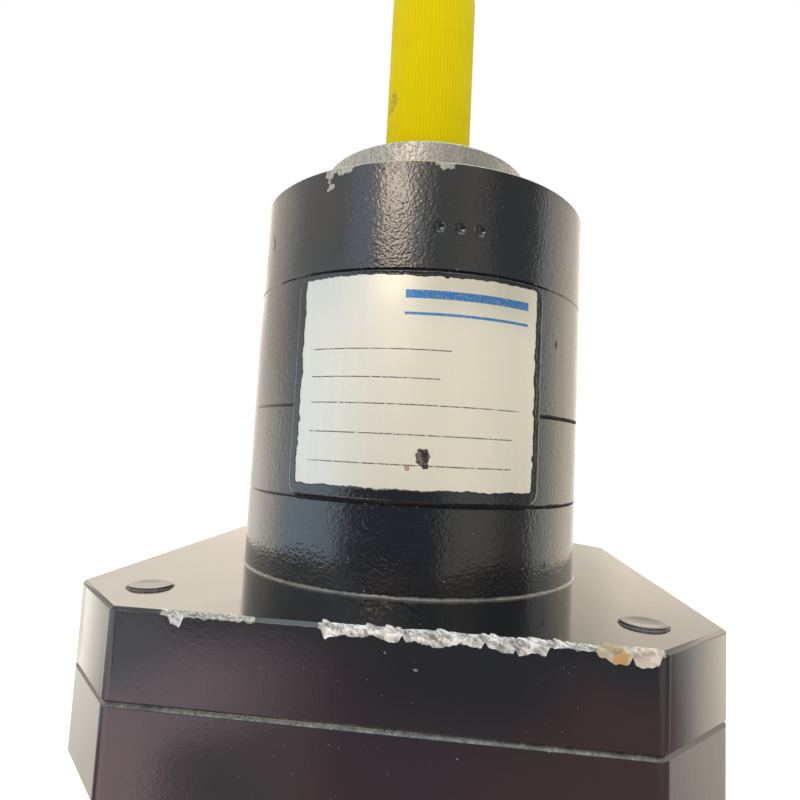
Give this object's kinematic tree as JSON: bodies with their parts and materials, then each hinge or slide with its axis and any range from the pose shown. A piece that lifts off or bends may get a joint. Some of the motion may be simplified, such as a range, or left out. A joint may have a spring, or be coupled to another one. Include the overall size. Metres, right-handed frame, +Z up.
{
  "type": "servo gear motor",
  "caption": "Square servo motor with a coaxial one-stage planetary gearbox of stacked round rings, an adapter plate, a centring pilot and a plain output shaft under a plastic sleeve.",
  "frame": {"origin": "centre of the centring pilot's base, in the plane of the output mounting face", "axes": "+Z up along the output shaft, X and Y square to the adapter plate's sides, connectors on +Y"},
  "size_m": [0.1164, 0.1415, 0.3463],
  "materials": {
    "black_enamel": "glossy black enamel with orange peel, chipped to bare metal at edges",
    "yellow_plastic": "ribbed soft plastic, satin",
    "ground_steel": "ground",
    "bearing_steel": "polished",
    "bearing_brass": "machined",
    "gear_steel": "case-hardened, ground flanks",
    "black_oxide_steel": "black oxide",
    "seal_rubber": "moulded",
    "silver_foil": "satin foil, blank",
    "core_iron": "stacked laminations",
    "magnet_iron": "coated",
    "winding_copper": "enamelled copper wire",
    "encoder_parts": "etched disc",
    "encoder_case": "anodised",
    "socket_alloy": "die-cast, nickel plated"
  },
  "bodies": {
    "housing": {"output_flange": "black_enamel", "shaft_seal": "seal_rubber", "front_bearing_outer": "bearing_steel", "bearing_ring": "black_enamel", "rear_bearing_outer": "bearing_steel", "snap_rings": "black_oxide_steel", "ring_gear": "black_enamel", "hub_bearing_outer": "bearing_steel", "input_housing": "black_enamel", "ring_screws": "black_oxide_steel", "adapter_screws": "black_oxide_steel", "adapter_plate": "black_enamel", "access_plug": "seal_rubber", "type_plate": "silver_foil", "motor_screws": "black_oxide_steel", "motor_flange": "black_enamel", "drive_bearing_outer": "bearing_steel", "stator_core": "core_iron", "stator_windings": "winding_copper", "motor_housing": "black_enamel", "tail_bearing_outer": "bearing_steel", "wave_spring": "ground_steel", "rear_shield": "black_enamel", "motor_tie_bolts": "black_oxide_steel", "encoder_body": "encoder_case", "rear_cover": "black_enamel", "cover_screws": "black_oxide_steel", "socket_bases": "black_enamel"},
    "output": {"output_shaft": "ground_steel", "front_bearing_inner": "bearing_steel", "bearing_spacer": "gear_steel", "rear_bearing_inner": "bearing_steel", "planet_pins": "ground_steel", "planet_bushes": "bearing_brass", "thrust_washers": "bearing_brass", "carrier_plate": "ground_steel", "carrier_screws": "black_oxide_steel"},
    "planet_1": {"planet_gear_1": "gear_steel"},
    "planet_2": {"planet_gear_2": "gear_steel"},
    "planet_3": {"planet_gear_3": "gear_steel"},
    "rotor": {"motor_shaft": "ground_steel", "rotor_core": "core_iron", "rotor_magnets": "magnet_iron", "drive_bearing_inner": "bearing_steel", "tail_bearing_inner": "bearing_steel", "encoder_disc": "encoder_parts", "clamp_hub": "gear_steel", "clamp_screw": "black_oxide_steel", "hub_bearing_inner": "bearing_steel", "sun_gear": "gear_steel"},
    "front_cage": {"front_bearing_balls": "bearing_brass"},
    "rear_cage": {"rear_bearing_balls": "bearing_brass"},
    "hub_cage": {"hub_bearing_balls": "bearing_brass"},
    "drive_cage": {"drive_bearing_balls": "bearing_brass"},
    "tail_cage": {"tail_bearing_balls": "bearing_brass"},
    "sleeve": {"shaft_sleeve": "yellow_plastic"},
    "power_elbow": {"power_socket": "socket_alloy", "power_cap": "yellow_plastic"},
    "signal_elbow": {"signal_socket": "socket_alloy", "signal_cap": "yellow_plastic"}
  },
  "joints": [
    {"name": "motor_spin", "type": "hinge", "parent": "housing", "child": "rotor", "pos_m": [0, 0, 0], "axis": [0, 0, 1], "continuous": true},
    {"name": "output_spin", "type": "hinge", "parent": "housing", "child": "output", "pos_m": [0, 0, 0], "axis": [0, 0, 1], "continuous": true},
    {"name": "planet_1_spin", "type": "hinge", "parent": "output", "child": "planet_1", "pos_m": [0.0171, 0, -0.058], "axis": [0, 0, 1], "continuous": true},
    {"name": "planet_2_spin", "type": "hinge", "parent": "output", "child": "planet_2", "pos_m": [-0.00855, 0.01481, -0.058], "axis": [0, 0, 1], "continuous": true},
    {"name": "planet_3_spin", "type": "hinge", "parent": "output", "child": "planet_3", "pos_m": [-0.00855, -0.01481, -0.058], "axis": [0, 0, 1], "continuous": true},
    {"name": "front_cage_spin", "type": "hinge", "parent": "housing", "child": "front_cage", "pos_m": [0, 0, 0], "axis": [0, 0, 1], "continuous": true},
    {"name": "rear_cage_spin", "type": "hinge", "parent": "housing", "child": "rear_cage", "pos_m": [0, 0, 0], "axis": [0, 0, 1], "continuous": true},
    {"name": "hub_cage_spin", "type": "hinge", "parent": "housing", "child": "hub_cage", "pos_m": [0, 0, 0], "axis": [0, 0, 1], "continuous": true},
    {"name": "drive_cage_spin", "type": "hinge", "parent": "housing", "child": "drive_cage", "pos_m": [0, 0, 0], "axis": [0, 0, 1], "continuous": true},
    {"name": "tail_cage_spin", "type": "hinge", "parent": "housing", "child": "tail_cage", "pos_m": [0, 0, 0], "axis": [0, 0, 1], "continuous": true},
    {"name": "sleeve_pull", "type": "slide", "parent": "output", "child": "sleeve", "axis": [0, 0, 1], "range_m": [0, 0.055]},
    {"name": "power_swivel", "type": "hinge", "parent": "housing", "child": "power_elbow", "pos_m": [0, 0.058, -0.1457], "axis": [0, 1, 0], "range_deg": [-120, 120]},
    {"name": "signal_swivel", "type": "hinge", "parent": "housing", "child": "signal_elbow", "pos_m": [0, 0.058, -0.2057], "axis": [0, 1, 0], "range_deg": [-120, 120]}
  ],
  "couplings": [
    {"joint": "output_spin", "follows": "motor_spin", "ratio": 0.10526},
    {"joint": "planet_1_spin", "follows": "motor_spin", "ratio": -0.2386},
    {"joint": "planet_2_spin", "follows": "motor_spin", "ratio": -0.2386},
    {"joint": "planet_3_spin", "follows": "motor_spin", "ratio": -0.2386},
    {"joint": "front_cage_spin", "follows": "motor_spin", "ratio": 0.041558},
    {"joint": "rear_cage_spin", "follows": "motor_spin", "ratio": 0.041648},
    {"joint": "hub_cage_spin", "follows": "motor_spin", "ratio": 0.45},
    {"joint": "drive_cage_spin", "follows": "motor_spin", "ratio": 0.39481},
    {"joint": "tail_cage_spin", "follows": "motor_spin", "ratio": 0.37895}
  ]
}
